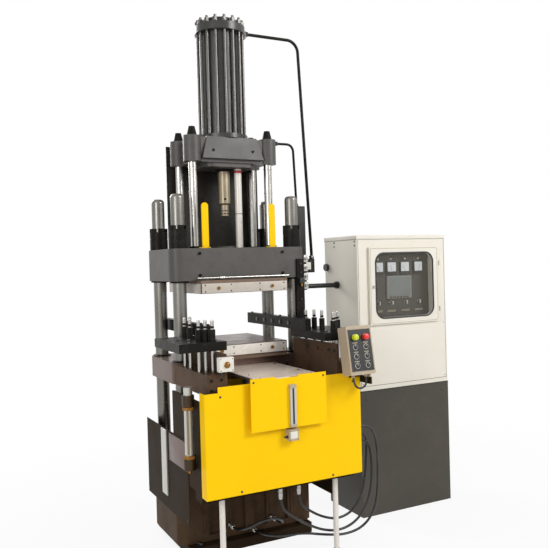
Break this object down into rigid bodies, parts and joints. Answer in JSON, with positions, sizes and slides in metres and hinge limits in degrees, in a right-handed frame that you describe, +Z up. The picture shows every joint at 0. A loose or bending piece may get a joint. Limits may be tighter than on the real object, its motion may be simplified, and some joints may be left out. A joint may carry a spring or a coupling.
{
  "type": "vertical rubber injection moulding machine",
  "caption": "Upright four-post press that injects rubber downwards into a heated mould, with a front guard, mould lift, operator pendant and control cabinet beside it.",
  "frame": {"origin": "on the press axis at floor level, in the middle of the base plate's underside", "axes": "+X to the operator's right, +Y to the back of the machine, +Z up"},
  "size_m": [1.882, 1.0924, 2.877],
  "materials": {
    "black_paint": "satin paint on cast steel",
    "grey_paint": "satin dark grey paint on a casting",
    "bright_steel": "turned bright steel",
    "black_steel": "oiled black steel",
    "tool_steel": "ground steel with a brown film of oil",
    "chrome": "hard chrome",
    "white_rod": "white sleeve",
    "yellow_paint": "semi-gloss yellow powder coat",
    "beige_paint": "light beige powder coat",
    "base_paint": "dark grey powder coat",
    "plate_cover": "pale sheet covers on a hot plate",
    "insulation": "pressed fibre board",
    "bronze": "aged bronze",
    "brass": "dull brass",
    "aluminium": "anodised",
    "grey_plastic": "moulded grey",
    "black_plastic": "moulded black",
    "panel_grey": "dark instrument panel",
    "rubber": "black hose rubber",
    "window_glass": "clear sheet"
  },
  "bodies": {
    "press_frame": {"base_plate": "black_paint", "lower_crosshead": "black_paint", "clamp_cylinder": "black_paint", "tie_bars": "bright_steel", "tie_bar_nuts": "black_steel", "upper_platen": "grey_paint", "upper_insulation": "insulation", "upper_hot_plate": "plate_cover", "front_rail": "chrome", "injection_columns": "chrome", "column_nuts": "black_steel", "upper_beam": "grey_paint", "cylinder_barrel": "black_paint", "cylinder_head": "black_paint", "cylinder_studs": "bright_steel", "gauge_rod": "white_rod", "stop_bars": "yellow_paint", "rear_guard": "black_paint", "side_duct": "black_paint", "switch_bar": "black_steel", "steel_pipes": "black_steel", "cabinet_conduit": "black_plastic", "front_cover": "yellow_paint", "front_frame": "black_paint", "side_panels": "black_paint", "front_legs": "white_rod", "scale_reader": "grey_plastic", "level_tube": "bright_steel", "level_tube_brackets": "brass", "cabinet_base": "base_paint", "cabinet_housing": "beige_paint", "instrument_panel": "panel_grey", "door_hinges": "chrome", "pendant_box": "grey_plastic", "pendant_panel": "black_plastic", "pendant_bracket": "black_steel", "hose_fittings": "chrome", "hose_left": "rubber", "hose_middle": "rubber", "hose_right": "rubber", "hose_arch": "rubber", "pendant_cable": "rubber"},
    "moving_platen": {"moving_platen": "tool_steel", "clamp_ram": "chrome", "lower_insulation": "insulation", "lower_hot_plate": "plate_cover", "lift_bases": "tool_steel", "indicator_plate": "yellow_paint", "indicator_arms": "tool_steel", "linear_scale": "aluminium"},
    "left_mould_lift": {"left_lift_plate": "black_steel", "left_lift_rail": "black_steel", "left_lift_pins": "chrome"},
    "right_mould_lift": {"right_lift_plate": "black_steel", "right_lift_rail": "black_steel", "right_lift_pins": "chrome"},
    "injection_plunger": {"injection_plunger": "bronze"},
    "window_door": {"window_door": "beige_paint", "window_glass": "window_glass"}
  },
  "joints": [
    {"name": "platen_slide", "type": "slide", "parent": "press_frame", "child": "moving_platen", "axis": [0, 0, 1], "range_m": [0, 0.17]},
    {"name": "left_lift_slide", "type": "slide", "parent": "moving_platen", "child": "left_mould_lift", "axis": [0, 0, 1], "range_m": [0, 0.04]},
    {"name": "right_lift_slide", "type": "slide", "parent": "moving_platen", "child": "right_mould_lift", "axis": [0, 0, 1], "range_m": [0, 0.04]},
    {"name": "plunger_slide", "type": "slide", "parent": "press_frame", "child": "injection_plunger", "axis": [0, 0, -1], "range_m": [0, 0.23]},
    {"name": "window_door_hinge", "type": "hinge", "parent": "press_frame", "child": "window_door", "pos_m": [1.306, -0.2713, 1.353], "axis": [0, 0, 1], "range_deg": [0, 100]}
  ],
  "couplings": [
    {"joint": "right_lift_slide", "follows": "left_lift_slide", "ratio": 1}
  ]
}
